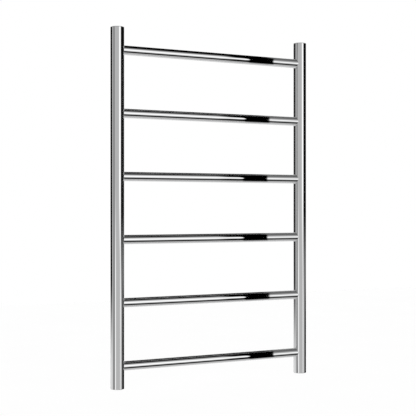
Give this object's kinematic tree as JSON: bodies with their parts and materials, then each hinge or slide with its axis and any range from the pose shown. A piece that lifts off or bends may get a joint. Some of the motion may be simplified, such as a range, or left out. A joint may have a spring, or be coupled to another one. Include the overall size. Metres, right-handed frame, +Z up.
{
  "type": "towel warmer rack",
  "caption": "Wall-hung ladder towel warmer: round chromed posts joined by straight horizontal bars, with threaded water inlets at the feet and an air vent behind.",
  "frame": {"origin": "centre of the four wall-fixing holes, on the plane of their bosses' faces", "axes": "+Z up along the posts, -Y is the front that towels hang on, +Y points at the wall, +X to the right seen from the front"},
  "size_m": [0.55, 0.0405, 0.846],
  "materials": {
    "chromed_steel": "mirror-polished bright chrome plate on steel tube",
    "nickel_brass": "nickel-plated turned brass, satin",
    "black_rubber": "matt black rubber"
  },
  "bodies": {
    "rail": {"left_post": "chromed_steel", "right_post": "chromed_steel", "crossbar_1": "chromed_steel", "crossbar_2": "chromed_steel", "crossbar_3": "chromed_steel", "crossbar_4": "chromed_steel", "crossbar_5": "chromed_steel", "crossbar_6": "chromed_steel", "left_top_cap": "chromed_steel", "right_top_cap": "chromed_steel", "left_inlet_bush": "chromed_steel", "right_inlet_bush": "chromed_steel", "wall_boss_upper_left": "chromed_steel", "wall_boss_lower_left": "chromed_steel", "wall_boss_upper_right": "chromed_steel", "wall_boss_lower_right": "chromed_steel", "air_vent_boss": "chromed_steel", "blanking_plug_boss": "chromed_steel", "air_vent_body": "nickel_brass", "blanking_plug": "nickel_brass", "air_vent_o_ring": "black_rubber", "blanking_plug_o_ring": "black_rubber"},
    "vent_needle": {"air_vent_needle": "black_rubber"},
    "vent_screw": {"bleed_screw": "nickel_brass"}
  },
  "joints": [
    {"name": "bleed_seal_lift", "type": "slide", "parent": "rail", "child": "vent_needle", "axis": [0, 1, 0], "range_m": [0, 0.0008]},
    {"name": "bleed_screw_turn", "type": "hinge", "parent": "vent_needle", "child": "vent_screw", "pos_m": [-0.259, 0, 0.405], "axis": [0, 1, 0], "range_deg": [0, 360]}
  ],
  "couplings": [
    {"joint": "bleed_screw_turn", "follows": "bleed_seal_lift", "rad_per_m": 7854}
  ]
}
